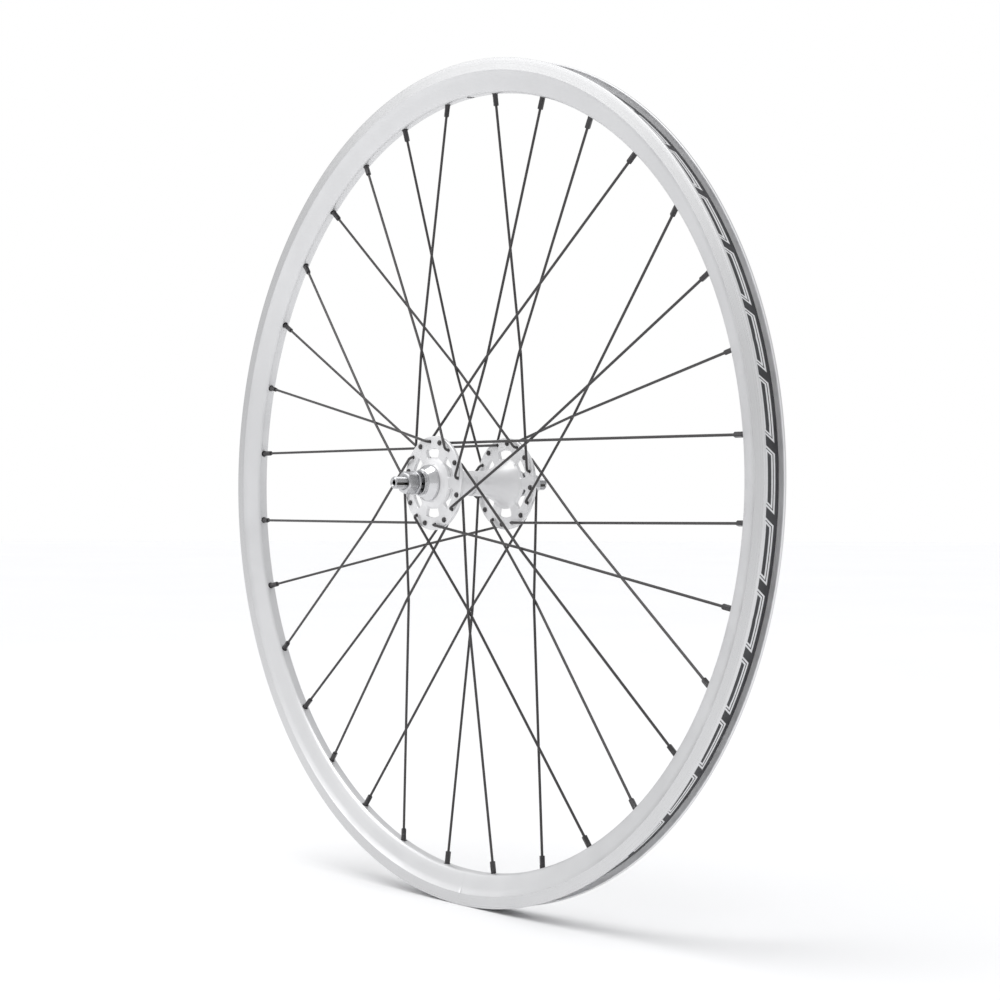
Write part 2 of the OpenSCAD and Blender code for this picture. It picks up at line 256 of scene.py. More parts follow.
def lathe_at(bm, place, outline, count, shape=None):
    """A lathe shape whose outline of (radius, z) turns about the Z axis of a place."""
    rings = []
    for r, z in outline:
        ring = []
        for a in even_angles(count):
            k = shape(r, z, a) if shape else r
            ring.append(place @ Vector((k * math.cos(a), k * math.sin(a), z)))
        rings.append(ring)
    loft(bm, rings)


def finish_mesh(mesh):
    """Smooth faces, with hard edges where two faces meet at an angle."""
    bm = bmesh.new()
    bm.from_mesh(mesh)
    bmesh.ops.remove_doubles(bm, verts=bm.verts, dist=1e-7)
    bmesh.ops.dissolve_degenerate(bm, edges=bm.edges, dist=1e-7)
    for face in bm.faces:
        face.smooth = True
    for edge in bm.edges:
        if len(edge.link_faces) == 2:
            edge.smooth = edge.calc_face_angle(0) < SHARP
    bm.to_mesh(mesh)
    bm.free()


def mesh_object(name, bm, materials=(), outward=True):
    """Makes an object from a mesh drawn in millimetres."""
    if outward:
        bmesh.ops.recalc_face_normals(bm, faces=bm.faces)
    bmesh.ops.transform(bm, matrix=Matrix.Scale(MM, 4), verts=bm.verts)
    mesh = bpy.data.meshes.new(name)
    bm.to_mesh(mesh)
    bm.free()
    for material in materials:
        mesh.materials.append(material)
    obj = bpy.data.objects.new(name, mesh)
    bpy.context.scene.collection.objects.link(obj)
    return obj


def carve(obj, cutter_bm):
    """Cuts a mesh drawn in millimetres out of an object."""
    cutter = mesh_object("cutter", cutter_bm)
    modifier = obj.modifiers.new("cut", "BOOLEAN")
    modifier.operation = "DIFFERENCE"
    modifier.solver = "EXACT"
    modifier.object = cutter
    graph = bpy.context.evaluated_depsgraph_get()
    mesh = bpy.data.meshes.new_from_object(obj.evaluated_get(graph))
    obj.modifiers.clear()
    obj.data = mesh
    bpy.data.objects.remove(cutter)


def place_piece(obj, body, slot, *nodes):
    """The piece rides on a body and stands for its CAD nodes."""
    finish_mesh(obj.data)
    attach(obj, body)
    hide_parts(*nodes)
    return obj


# ---- Materials ----


class Finish:
    """A principled material and short ways to add nodes to it."""

    def __init__(self, name, color, metallic=0.0, roughness=0.4):
        self.material = bpy.data.materials.new(name)
        self.material.use_nodes = True
        self.tree = self.material.node_tree
        self.shader = next(n for n in self.tree.nodes if n.type == "BSDF_PRINCIPLED")
        self.color = (*color, 1)
        self.shader.inputs["Base Color"].default_value = self.color
        self.shader.inputs["Metallic"].default_value = metallic
        self.shader.inputs["Roughness"].default_value = roughness
        self.material.diffuse_color = self.color
        self.bump = None

    def node(self, kind, **values):
        made = self.tree.nodes.new(kind)
        for key, value in values.items():
            setattr(made, key, value)
        return made

    def feed(self, socket, value):
        if isinstance(value, bpy.types.NodeSocket):
            self.tree.links.new(value, socket)
        else:
            socket.default_value = value

    def math(self, operation, *values, clamp=False):
        made = self.node("ShaderNodeMath", operation=operation, use_clamp=clamp)
        for socket, value in zip(made.inputs, values):
            self.feed(socket, value)
        return made.outputs[0]

    def place(self):
        """Object coordinates in metres, as (x, y, z) sockets and the whole vector."""
        coordinates = self.node("ShaderNodeTexCoord").outputs["Object"]
        split = self.node("ShaderNodeSeparateXYZ")
        self.feed(split.inputs[0], coordinates)
        return split.outputs[0], split.outputs[1], split.outputs[2], coordinates

    def radius(self):
        x, _, z, _ = self.place()
        return self.math("SQRT", self.math("ADD", self.math("POWER", x, 2), self.math("POWER", z, 2)))

    def noise(self, scale, detail=3.0, roughness=0.5, along=None):
        """Noise over the object, or over one number where along is given."""
        dimensions = "1D" if along is not None else "3D"
        made = self.node("ShaderNodeTexNoise", noise_dimensions=dimensions)
        if along is not None:
            self.feed(made.inputs["W"], along)
        else:
            self.feed(made.inputs["Vector"], self.place()[3])
        made.inputs["Scale"].default_value = scale
        made.inputs["Detail"].default_value = detail
        made.inputs["Roughness"].default_value = roughness
        return made.outputs["Fac"]

    def spread(self, value, low, high, start=0.3, end=0.7):
        """Maps a value from start..end to low..high."""
        made = self.node("ShaderNodeMapRange")
        for socket, number in zip(made.inputs, (value, start, end, low, high)):
            self.feed(socket, number)
        return made.outputs[0]

    def blend(self, factor, first, second):
        made = self.node("ShaderNodeMix", data_type="RGBA")
        self.feed(made.inputs[0], factor)
        self.feed(made.inputs[6], first)
        self.feed(made.inputs[7], second)
        return made.outputs[2]

    def set(self, name, value):
        self.feed(self.shader.inputs[name], value)

    def tint(self, factor, share):
        """Varies the colour between its own value and a share of it."""
        darker = tuple(c * share for c in self.color[:3]) + (1,)
        mixed = self.blend(factor, self.color, darker)
        self.set("Base Color", mixed)
        return mixed

    def emboss(self, height, distance, strength=1.0):
        """Adds a bump of a height field, on top of any before it."""
        made = self.node("ShaderNodeBump")
        made.inputs["Strength"].default_value = strength
        made.inputs["Distance"].default_value = distance
        self.feed(made.inputs["Height"], height)
        if self.bump:
            self.feed(made.inputs["Normal"], self.bump)
        self.bump = made.outputs[0]
        self.set("Normal", self.bump)


def satin_alloy():
    """Anodised rim alloy: fine extrusion grain, faint clouds and small scuffs."""
    f = Finish("satin_alloy", (0.71, 0.711, 0.718), metallic=0.75, roughness=0.42)
    f.tint(f.spread(f.noise(9, 4), 0, 1), 0.93)
    grain = f.noise(900, 2)
    f.set("Roughness", f.spread(f.noise(60, 4), 0.36, 0.5))
    f.emboss(grain, 0.00002, 0.35)
    f.emboss(f.noise(1400, along=f.radius()), 0.00003, 0.25)
    return f.material


def turned_track():
    """Brake track: concentric turning lines and slight pad wear."""
    f = Finish("turned_track", (0.64, 0.641, 0.646), metallic=0.95, roughness=0.3)
    lines = f.noise(2600, 2, along=f.radius())
    wear = f.noise(5, 5, 0.6)
    f.tint(f.spread(wear, 0, 1, 0.35, 0.75), 0.9)
    f.set("Roughness", f.spread(lines, 0.24, 0.4))
    f.emboss(lines, 0.00004, 0.5)
    return f.material


def lightened_channel_alloy():
    """Rim channel and cavity: plain extruded alloy with drawing lines. Its colour is lighter than the
    wall alloy's: painted light to lift the channel's shade.
    """
    # painted light: a lighter copy of the rim alloy, to brighten the shaded channel
    f = Finish("lightened_channel_alloy", (0.92, 0.92, 0.93), metallic=0.5, roughness=0.45)
    f.tint(f.spread(f.noise(14, 4), 0, 1), 0.85)
    f.set("Roughness", f.spread(f.noise(80, 3), 0.38, 0.55))
    f.emboss(f.noise(1800, 2, along=f.radius()), 0.00004, 0.4)
    return f.material


def coated_hub():
    """Hub shell: gloss white-silver coat with faint turning lines, haze and hairlines."""
    f = Finish("coated_hub", (0.78, 0.779, 0.787), metallic=0.3, roughness=0.36)
    lines = f.noise(3200, 2, along=f.radius())
    haze = f.noise(45, 5, 0.6)
    f.tint(f.spread(haze, 0, 1), 0.94)
    f.set("Roughness", f.spread(haze, 0.3, 0.44))
    f.set("Coat Weight", 0.5)
    f.set("Coat Roughness", f.spread(f.noise(90, 4), 0.1, 0.2))
    f.emboss(lines, 0.00001, 0.3)
    f.emboss(f.noise(420, 6, 0.7), 0.00001, 0.2)
    return f.material


def black_wire():
    """Spokes: satin black coating with a drawn grain and slightly rubbed spots."""
    f = Finish("black_wire", (0.05, 0.047, 0.048), metallic=0.35, roughness=0.34)
    rubbed = f.spread(f.noise(160, 5, 0.65), 0, 1, 0.62, 0.82)
    f.set("Base Color", f.blend(rubbed, f.color, (0.07, 0.07, 0.075, 1)))
    f.set("Roughness", f.spread(f.noise(700, 3), 0.28, 0.42))
    f.emboss(f.noise(1500, 2), 0.00002, 0.25)
    return f.material


def black_nipple():
    """Nipples: black coating, worn a little brighter in places by the spoke key."""
    f = Finish("black_nipple", (0.045, 0.043, 0.045), metallic=0.45, roughness=0.3)
    worn = f.spread(f.noise(420, 4, 0.6), 0, 1, 0.6, 0.8)
    f.set("Base Color", f.blend(worn, f.color, (0.11, 0.11, 0.115, 1)))
    f.set("Roughness", f.spread(f.noise(900, 3), 0.24, 0.4))
    f.emboss(f.noise(2200, 2), 0.00002, 0.2)
    return f.material


def plated_steel(name, color, roughness, line_scale=0.0, keyway=False):
    """Bright plating: clouded roughness, a slight tint and machining lines under it. The floor
    of a keyway is painted dark: painted shade in the recess."""
    f = Finish(name, color, metallic=1.0, roughness=roughness)
    clouds = f.noise(130, 5, 0.6)
    plating = f.tint(f.spread(clouds, 0, 1), 0.84)
    if keyway:
        floor_r = (AXLE_R - KEYWAY_DEPTH) * MM
        deep = f.spread(f.radius(), 1, 0, floor_r + 0.0002, floor_r + 0.0005)
        inland = f.math("LESS_THAN", f.math("ABSOLUTE", f.place()[1]), (AXLE_HALF - 1.2) * MM)
        # painted shade: the keyway's floor is coloured near black
        painted_keyway_shade = f.math("MULTIPLY", deep, inland)
        f.set("Base Color", f.blend(painted_keyway_shade, plating, (0.05, 0.048, 0.045, 1)))
    f.set("Roughness", f.spread(f.noise(260, 4), roughness * 0.7, roughness * 1.4))
    if line_scale:
        f.emboss(f.noise(line_scale, 2, along=f.radius()), 0.00002, 0.35)
    f.emboss(f.noise(1100, 4, 0.6), 0.00001, 0.3)
    return f.material


# The tape's print, in metres: white slanted bars with a black outline and a black core
TAPE_WEAVE = 0.0011
BAR_PITCH = 0.046
BAR_HALF_L = 0.0195
BAR_HALF_H = 0.0052
BAR_MIDDLE = -0.0006
BAR_SLANT = 0.7
BAR_LINE = 0.0006
CORE_MARGIN = 0.0036
PRINT_EDGE = 0.00015


def wave(f, coordinate, period):
    return f.math("SINE", f.math("MULTIPLY", coordinate, TAU / period))


def printed_tape():
    """Rim tape: woven black plastic with a printed row of outlined slanted bars."""
    f = Finish("printed_tape", (0.03, 0.03, 0.033), roughness=0.55)
    x, y, z, _ = f.place()
    round_m = f.math("MULTIPLY", f.math("ARCTAN2", z, x), BEAD_R * MM)
    weave = f.math("MULTIPLY", wave(f, round_m, TAPE_WEAVE), wave(f, y, TAPE_WEAVE))
    f.emboss(weave, 0.00012, 0.5)
    f.emboss(f.noise(300, 4), 0.0001, 0.2)
    across = f.math("SUBTRACT", y, BAR_MIDDLE)
    slanted = f.math("ADD", round_m, f.math("MULTIPLY", across, BAR_SLANT))
    cell = f.math("PINGPONG", f.math("ADD", slanted, BAR_PITCH * 40), BAR_PITCH / 2)
    along = f.math("SUBTRACT", cell, BAR_HALF_L)
    beside = f.math("SUBTRACT", f.math("ABSOLUTE", across), BAR_HALF_H)
    depth = f.math("MAXIMUM", along, beside)
    bar = f.spread(depth, 1, 0, -PRINT_EDGE, PRINT_EDGE)
    rule_at = f.math("ABSOLUTE", f.math("ADD", depth, CORE_MARGIN / 2))
    rule = f.spread(rule_at, 1, 0, BAR_LINE / 2, BAR_LINE / 2 + PRINT_EDGE)
    core = f.spread(depth, 1, 0, -CORE_MARGIN - PRINT_EDGE, -CORE_MARGIN + PRINT_EDGE)
    black = f.math("MAXIMUM", rule, core)
    ink = f.math("SUBTRACT", bar, black, clamp=True)
    worn = f.spread(f.noise(500, 4, 0.6), 1, 0.85, 0.45, 0.75)
    cover = f.math("MULTIPLY", ink, worn, clamp=True)
    base = f.blend(f.spread(f.noise(40, 4), 0, 1), f.color, (0.05, 0.05, 0.055, 1))
    f.set("Base Color", f.blend(cover, base, (0.8, 0.8, 0.81, 1)))
    f.set("Roughness", f.spread(f.noise(200, 3), 0.45, 0.62))
    return f.material


def rubber():
    """Bearing seals: moulded rubber with a fine grain."""
    f = Finish("seal_rubber", (0.02, 0.02, 0.021), roughness=0.62)
    f.tint(f.spread(f.noise(200, 4), 0, 1), 0.7)
    f.set("Roughness", f.spread(f.noise(500, 3), 0.52, 0.72))
    f.emboss(f.noise(1600, 3), 0.00003, 0.4)
    return f.material


def floor_paint():
    """Pale studio floor with a faint roll of the light across it."""
    f = Finish("studio_floor", (0.93, 0.93, 0.935), roughness=0.7)
    f.tint(f.spread(f.noise(1.5, 3), 0, 1), 0.985)
    f.set("Roughness", f.spread(f.noise(6, 3), 0.62, 0.78))
    f.emboss(f.noise(180, 3), 0.0002, 0.1)
    return f.material


# ---- Rim, tape and sleeve ----


def rim_outline():
    """Section of the rim: tyre bed, bead hook, brake track, sloping wall and inner face."""
    wall_y = HALF_W - RIM_WALL
    hook_y = wall_y - 0.5
    lip = 0.5
    side_y = HALF_W - 0.4
    corner = 3.4
    foot_y = 5.0
    half = [(BEAD_R, 0), (BEAD_R, 4)]
    half += arc(BEAD_R + 0.5, wall_y - 0.5, 0.5, 180, 90, 4)
    half += [(HOOK_R - 1.9, wall_y)]
    half += arc(HOOK_R - 1.0, hook_y + 0.4, 0.4, 200, 270, 4)
    half += arc(HOOK_R - lip, hook_y + lip, lip, -90, 0, 5)
    half += arc(HOOK_R - lip, HALF_W - lip, lip, 0, 90, 6)
    half += [(HOOK_R - 3, HALF_W), (TRACK_END_R, HALF_W), (TRACK_END_R - 0.35, side_y)]
    half += [(TRACK_END_R - 5, side_y - 1.7), (TRACK_END_R - 10, side_y - 3.5)]
    half += arc(INNER_R + corner, foot_y - corner, corner, 112, 180, 8)
    half += [(INNER_R, 0)]
    return both_halves(half)


def cavity_outline():
    """Section of the hollow inside the rim."""
    top_r = BEAD_R - RIM_WALL
    return both_halves([
        (top_r, 0), (top_r, 7.8), (top_r - 0.6, 8.4), (TRACK_END_R - 1.2, 8.1),
        (SEAT_R + 0.4, 3.4), (SEAT_R, 3.1), (SEAT_R, 0)])


def seam_groove(r, y, a):
    """Pulls the section in a little at the joint opposite the valve hole."""
    if abs(a - SEAM_A) > 1e-9:
        return r, y
    middle = (HOOK_R + INNER_R) / 2
    return middle + (r - middle) * 0.988, y * 0.985


def rim_paint(r, y):
    """Face materials: 0 satin wall, 1 brake track, 2 channel."""
    if r >= TRACK_END_R and abs(y) > HALF_W - 0.05 and r < HOOK_R - 0.6:
        return 1
    if r >= BEAD_R - 0.01 and abs(y) < HALF_W - 1.2:
        return 2
    return 0


def make_rim():
    seam = SEAM_HALF_W / HOOK_R
    angles = even_angles(SPOKE_COUNT * 24)
    angles = sorted(angles + [SEAM_A - seam, SEAM_A + seam])
    bm = bmesh.new()
    revolve(bm, rim_outline(), angles, shape=seam_groove, paint=rim_paint)
    revolve(bm, cavity_outline(), angles, hollow=True, paint=lambda r, y: 2)
    materials = [satin_alloy(), turned_track(), lightened_channel_alloy()]
    rim = mesh_object("rim_alloy_shell", bm, materials, outward=False)
    cuts = bmesh.new()
    flare = 1 + HOLE_CHAMFER
    for i in range(SPOKE_COUNT):
        out = polar(1, (i + 0.5) * PITCH_A, 0)
        drill(cuts, Vector(), out, [
            (INNER_R - 1, NIPPLE_HOLE_R + flare), (INNER_R + HOLE_CHAMFER, NIPPLE_HOLE_R),
            (SEAT_R + 2, NIPPLE_HOLE_R)])
        drill(cuts, Vector(), out, [
            (BEAD_R - 4, ACCESS_R), (BEAD_R - HOLE_CHAMFER, ACCESS_R), (BEAD_R + 1, ACCESS_R + flare)])
    drill(cuts, Vector(), Vector((0, 0, 1)), [
        (INNER_R - 1, VALVE_R + flare), (INNER_R + HOLE_CHAMFER, VALVE_R),
        (BEAD_R + 4, VALVE_R)], 48)
    carve(rim, cuts)
    return place_piece(rim, "wheel", "rim_alloy", "rim")


def tape_dip(r, y, a):
    """The tape dips into the access hole behind each nipple."""
    off = (a / PITCH_A) % 1 - 0.5
    distance = math.hypot(off * PITCH_A * BEAD_R, y)
    if distance >= ACCESS_R:
        return r, y
    return r - 0.35 * math.cos(distance / ACCESS_R * math.pi / 2) ** 2, y


def make_tape():
    edge = 0.2
    rows = [i * 0.9 for i in range(9)]
    top = [(TAPE_R, y) for y in rows if y < TAPE_HALF_W - edge]
    side = arc(TAPE_R - edge, TAPE_HALF_W - edge, edge, 0, 90, 3)
    low = [(BEAD_R + 0.02, TAPE_HALF_W)]
    bottom = [(BEAD_R + 0.02, y) for y in reversed(rows) if y < TAPE_HALF_W - edge]
    outline = both_halves(top + side + low + bottom)
    bm = bmesh.new()
    revolve(bm, outline, even_angles(SPOKE_COUNT * 44), shape=tape_dip)
    tape = mesh_object("printed_rim_tape", bm, [printed_tape()])
    cut = bmesh.new()
    drill(cut, Vector(), Vector((0, 0, 1)), [
        (BEAD_R - 4, TAPE_HOLE_R), (BEAD_R + 4, TAPE_HOLE_R)], 48)
    carve(tape, cut)
    return place_piece(tape, "wheel", "tape", "rim_tape")


# ---- Spokes and nipples ----
# Each is made for the left flange, with its hub hole at angle 0 and its rim hole at LEAN_A.
# An outer spoke leaves the flange's outer face, and passes inside the other at the last crossing.

RIM_POINT = polar(SEAT_R, LEAN_A, 0)


def cross_point(outer):
    rise = HOLE_R * math.sin(LAST_CROSS_A)
    share = rise / (rise + SEAT_R * math.sin(LEAN_A - LAST_CROSS_A))
    near = HOLE_R * math.cos(LAST_CROSS_A)
    far = SEAT_R * math.cos(LEAN_A - LAST_CROSS_A)
    offset = (-1 if outer else 1) * (SPOKE_R + SPOKE_GAP / 2)
    return polar(near + (far - near) * share, LAST_CROSS_A, FLANGE_Y * (1 - share) + offset)


def bend_points(start, u, w, r, steps):
    """Points on a bend of radius r that leaves start along u and ends along w."""
    v = (w - u * w.dot(u)).normalized()
    angles = [math.acos(u.dot(w)) * i / steps for i in range(steps + 1)]
    return [start + r * v * (1 - math.cos(a)) + r * u * math.sin(a) for a in angles]


def spoke_path(outer):
    """Centreline of a spoke from under its head to inside its nipple."""
    shank = Vector((0, 1 if outer else -1, 0))
    start = Vector((HOLE_R, FLANGE_Y + (1 if outer else -1) * FLANGE_T / 2, 0))
    cross = cross_point(outer)
    run = (cross - start).normalized()
    for _ in range(6):
        run = (cross - bend_points(start, shank, run, ELBOW_R, 1)[-1]).normalized()
    last = (RIM_POINT - cross).normalized()
    reach = KINK_R * math.tan(run.angle(last) / 2)
    path = [start - shank * (FLANGE_T + 0.3)]
    path += bend_points(start, shank, run, ELBOW_R, 14)
    path += bend_points(cross - run * reach, run, last, KINK_R, 6)
    path.append(RIM_POINT)
    return path, shank, start


def axis_place(point, direction):
    """A place whose Z axis lies along a direction."""
    tilt = Matrix.Rotation(math.acos(direction.z), 4, "Y")
    swing = Matrix.Rotation(math.atan2(direction.y, direction.x), 4, "Z")
    return Matrix.Translation(point) @ swing @ tilt


def spoke_mesh(outer):
    """A bent wire with a round head on the flange's face."""
    path, shank, start = spoke_path(outer)
    bm = bmesh.new()
    sweep(bm, path, SPOKE_R, 24)
    head = [(0.9, -0.2), (1.5, 0.0), (1.9, 0.05), (2.0, 0.2), (2.0, 0.55)]
    head += arc(0.6, 0.25, 1.35, 15, 82, 7)
    lathe_at(bm, axis_place(start - shank * FLANGE_T, -shank), head, 32)
    return bm


def nipple_section(r, z, a):
    """The lower part of a nipple has four flats with rounded corners."""
    if z > -4.3 or r < 1.3:
        return r
    flat = NIPPLE_FLATS / 2 / max(abs(math.cos(a)), abs(math.sin(a)))
    return min(r, flat)


def nipple_mesh(outer):
    """Round shank under a flared head, and a flatted lower end that is open for the spoke."""
    path, _, _ = spoke_path(outer)
    direction = (path[-1] - path[-2]).normalized()
    bm = bmesh.new()
    outline = [(1.06, -NIPPLE_LEN + 0.5), (1.06, -NIPPLE_LEN), (1.35, -NIPPLE_LEN)]
    outline += arc(1.65, -NIPPLE_LEN + 0.4, 0.4, -90, 0, 3)
    outline += [(2.06, -NIPPLE_LEN + 0.7), (2.06, -4.7), (2.0, -4.2), (2.0, -0.2), (2.9, 0.6)]
    outline += arc(1.9, 1.5, 1.0, 0, 80, 4)
    lathe_at(bm, axis_place(RIM_POINT, direction), outline, 40, nipple_section)
    return bm


def wheel_place(side, i):
    """Where spoke i of a side sits, from its place at the left flange."""
    first = PITCH_A / 2 if side == RIGHT else PITCH_A * 1.5
    mirror_side = Matrix.Diagonal((1, side, 1, 1))
    mirror_lean = Matrix.Diagonal((1, 1, -1 if i % 2 else 1, 1))
    return mirror_side @ turn(first + 2 * PITCH_A * i) @ mirror_lean


def is_outer(side, i):
    return i % 2 == (0 if side == RIGHT else 1)


def copy_into(bm, source, matrix):
    """Adds a copy of a mesh to another, moved by a matrix that may mirror it."""
    known = {v: bm.verts.new(matrix @ v.co) for v in source.verts}
    for face in source.faces:
        bm.faces.new([known[v] for v in face.verts])


def make_spokes():
    wire, coat = black_wire(), black_nipple()
    spokes = {outer: spoke_mesh(outer) for outer in (True, False)}
    nipples = {outer: nipple_mesh(outer) for outer in (True, False)}
    for name, side in SIDES.items():
        joined = bmesh.new()
        for i in range(PER_SIDE):
            outer = is_outer(side, i)
            bm = bmesh.new()
            copy_into(bm, spokes[outer], wheel_place(side, i))
            label = f"{name}_{i + 1:02d}"
            spoke = mesh_object(f"wire_spoke_{label}", bm, [wire])
            place_piece(spoke, "wheel", "spoke_black", f"spoke_{label}")
            copy_into(joined, nipples[outer], wheel_place(side, i))
        piece = mesh_object(f"{name}_nipple_set", joined, [coat])
        place_piece(piece, "wheel", "nipple_black", f"{name}_spoke_nipples")


# ---- Hub shell ----


def shell_outline():
    """Section of the hub shell: barrel, long flare, flange, boss and bearing seat."""
    flange_in = FLANGE_Y - FLANGE_T / 2
    flange_out = FLANGE_Y + FLANGE_T / 2
    run, rise = flange_in - FLARE_START_Y, BOSS_R - WAIST_R
    flare_r = (run * run + rise * rise) / (2 * rise)
    flare_end = 180 - math.degrees(math.asin((run - 0.9) / flare_r))
    edge = 0.8
    half = [(SHELL_BORE_R, 0), (WAIST_R, 0), (WAIST_R, 5)]
    half += arc(WAIST_R + flare_r, FLARE_START_Y, flare_r, 180, flare_end, 28)
    half += arc(BOSS_R + 0.9, flange_in - 0.7, 0.7, 140, 90, 4)
    half += [(WINDOW_R, flange_in), (HOLE_R, flange_in)]
    half += arc(FLANGE_R - edge, flange_in + edge, edge, -90, 0, 6)
    half += arc(FLANGE_R - edge, flange_out - edge, edge, 0, 90, 6)
    half += [(HOLE_R, flange_out), (WINDOW_R, flange_out)]
    half += arc(BOSS_R + 0.5, flange_out + 0.5, 0.5, 270, 200, 4)
    half += arc(BOSS_R - 2.4, flange_out + 0.1, 1.2, 60, 85, 4)
    half += [(14.6, flange_out + 2.0)]
    half += arc(13.9, SHELL_END_Y - 0.35, 0.35, 10, 90, 4)
    half += [(BEARING_R, SHELL_END_Y), (BEARING_R, BEARING_IN_Y), (SHELL_BORE_R, BEARING_IN_Y)]
    return both_halves(half)


def window_ring(y, grow):
    """Rounded outline of a flange window at a height, grown by a little."""
    low = WINDOW_R - WINDOW_H / 2 + WINDOW_CORNER
    high = WINDOW_R + WINDOW_H / 2 - WINDOW_CORNER
    low_a = WINDOW_SPAN - math.asin(WINDOW_CORNER / low)
    high_a = WINDOW_SPAN - math.asin(WINDOW_CORNER / high)
    corner = WINDOW_CORNER + grow
    side = math.degrees(WINDOW_SPAN) + 90
    half = [((high + corner) * math.cos(a), (high + corner) * math.sin(a))
            for a in [high_a * i / 10 for i in range(10)]]
    half += arc(high * math.cos(high_a), high * math.sin(high_a), corner,
                math.degrees(high_a), side, 6)
    half += arc(low * math.cos(low_a), low * math.sin(low_a), corner,
                side, math.degrees(low_a) + 180, 6)
    half += [((low - corner) * math.cos(a), (low - corner) * math.sin(a))
             for a in [low_a * i / 8 for i in range(7, 0, -1)]]
    inner = low - corner
    ring = half + [(inner, 0.0)] + [(u, -v) for u, v in reversed(half) if v > 1e-6]
    return [Vector((u, y, v)) for u, v in ring]


def make_hub():
    bm = bmesh.new()
    revolve(bm, shell_outline(), even_angles(240))
    hub = mesh_object("coated_hub_shell", bm, [coated_hub()])
    cuts = bmesh.new()
    half, flare = FLANGE_T / 2, 1 + HOLE_CHAMFER
    levels = [(-half - 1, flare), (-half + HOLE_CHAMFER, 0), (half - HOLE_CHAMFER, 0), (half + 1, flare)]
    for side in SIDES.values():
        for i in range(WINDOW_COUNT):
            place = turn(math.radians(30) + TAU / WINDOW_COUNT * i)
            loft(cuts, [[place @ p for p in window_ring(side * FLANGE_Y + y, g)] for y, g in levels])
        first = PITCH_A / 2 if side == RIGHT else PITCH_A * 1.5
        for i in range(PER_SIDE):
            hole = polar(HOLE_R, first + 2 * PITCH_A * i, side * FLANGE_Y)
            drill(cuts, hole, Vector((0, 1, 0)), [(y, SPOKE_HOLE_R + g * 0.8) for y, g in levels], 28)
    carve(hub, cuts)
    return place_piece(hub, "wheel", "hub_alloy", "hub_shell")


# ---- Axle and its hardware ----


def thread_wave(y, a):
    """Depth of the thread below its crest, from 0 to 1, at a place on the axle."""
    phase = (y / THREAD_PITCH - a / TAU) % 1
    return min(1.0, max(0.0, 1.25 - abs(phase - 0.5) * 3.2))


def axle_shape(r, y, a):
    """Cuts the thread into the axle's outer ends and thins it towards the chamfered tip."""
    if r < AXLE_R - 1e-3 or abs(y) < THREAD_FROM:
        return r, y
    tip = AXLE_R - max(0.0, abs(y) - (AXLE_HALF - TIP_CHAMFER))
    return min(tip, AXLE_R - THREAD_DEPTH * thread_wave(y, a)), y


def axle_outline():
    steps = round((AXLE_HALF - THREAD_FROM) / THREAD_PITCH * THREAD_STEPS)
    thread = [(AXLE_R, THREAD_FROM + (AXLE_HALF - THREAD_FROM) * i / steps) for i in range(steps + 1)]
    hole = [(CENTRE_HOLE_R + 0.9, AXLE_HALF), (CENTRE_HOLE_R, AXLE_HALF - 0.9),
            (CENTRE_HOLE_R, AXLE_HALF - CENTRE_HOLE_LEN), (0, AXLE_HALF - CENTRE_HOLE_LEN - 1.2)]
    half = [(AXLE_R, 0)] + thread + hole
    return half + [(r, -y) for r, y in reversed(half) if y > 1e-6]


def make_axle(steel):
    bm = bmesh.new()
    revolve(bm, axle_outline(), even_angles(72), shape=axle_shape)
    axle = mesh_object("threaded_axle", bm, [steel])
    cuts = bmesh.new()
    for side in SIDES.values():
        low = side * LOCKNUT_REACH[0]
        high = side * (AXLE_HALF + 1)
        corners = [(AXLE_R - KEYWAY_DEPTH, -KEYWAY_W / 2), (AXLE_R + 2, -KEYWAY_W / 2),
                   (AXLE_R + 2, KEYWAY_W / 2), (AXLE_R - KEYWAY_DEPTH, KEYWAY_W / 2)]
        rings = [[turn(KEYWAY_A) @ Vector((u, y, v)) for u, v in corners] for y in (low, high)]
        loft(cuts, rings)
    carve(axle, cuts)
    return place_piece(axle, "axle_assembly", "axle_steel", "axle")


def hex_radius(a, across_flats, first_corner):
    """Radius of a hexagon with slightly rounded corners at an angle."""
    off = (a - first_corner + TAU) % (TAU / 6) - TAU / 12
    return min(across_flats / 2 / math.cos(off), across_flats / math.sqrt(3) * 0.985)


def make_nut(name, side, steel):
    """Hexagon nut with turned bevels on both faces and a countersunk thread."""
    low, high = NUT_REACH
    count = 6 * 20
    bevel_r = NUT_AF / 2 * 0.965
    bm = bmesh.new()

    def shape(r, y, a):
        if r < bevel_r + 1e-3:
            return r, y
        edge = hex_radius(a, NUT_AF, NUT_CORNER_A)
        drop = (edge - bevel_r) * math.tan(math.radians(30))
        return edge, min(max(y, low + drop), high - drop)

    outline = [(BORE_R, low + 0.5), (BORE_R + 0.5, low), (bevel_r, low), (NUT_AF, low),
               (NUT_AF, (low + high) / 2), (NUT_AF, high), (bevel_r, high), (BORE_R + 0.6, high),
               (BORE_R, high - 0.6)]
    revolve(bm, outline, even_angles(count), shape=shape)
    bmesh.ops.transform(bm, matrix=Matrix.Diagonal((1, side, 1, 1)), verts=bm.verts)
    nut = mesh_object(f"{name}_hex_nut", bm, [steel])
    return place_piece(nut, f"{name}_nut", "nut_steel", f"{name}_axle_nut")


def make_ring(name, piece, side, outline, steel, body, slot, node, shape=None):
    """A lathe part on the axle, drawn for the left side."""
    bm = bmesh.new()
    revolve(bm, outline, even_angles(160), shape=shape)
    bmesh.ops.transform(bm, matrix=Matrix.Diagonal((1, side, 1, 1)), verts=bm.verts)
    obj = mesh_object(f"{name}_{piece}", bm, [steel])
    return place_piece(obj, body, slot, node)


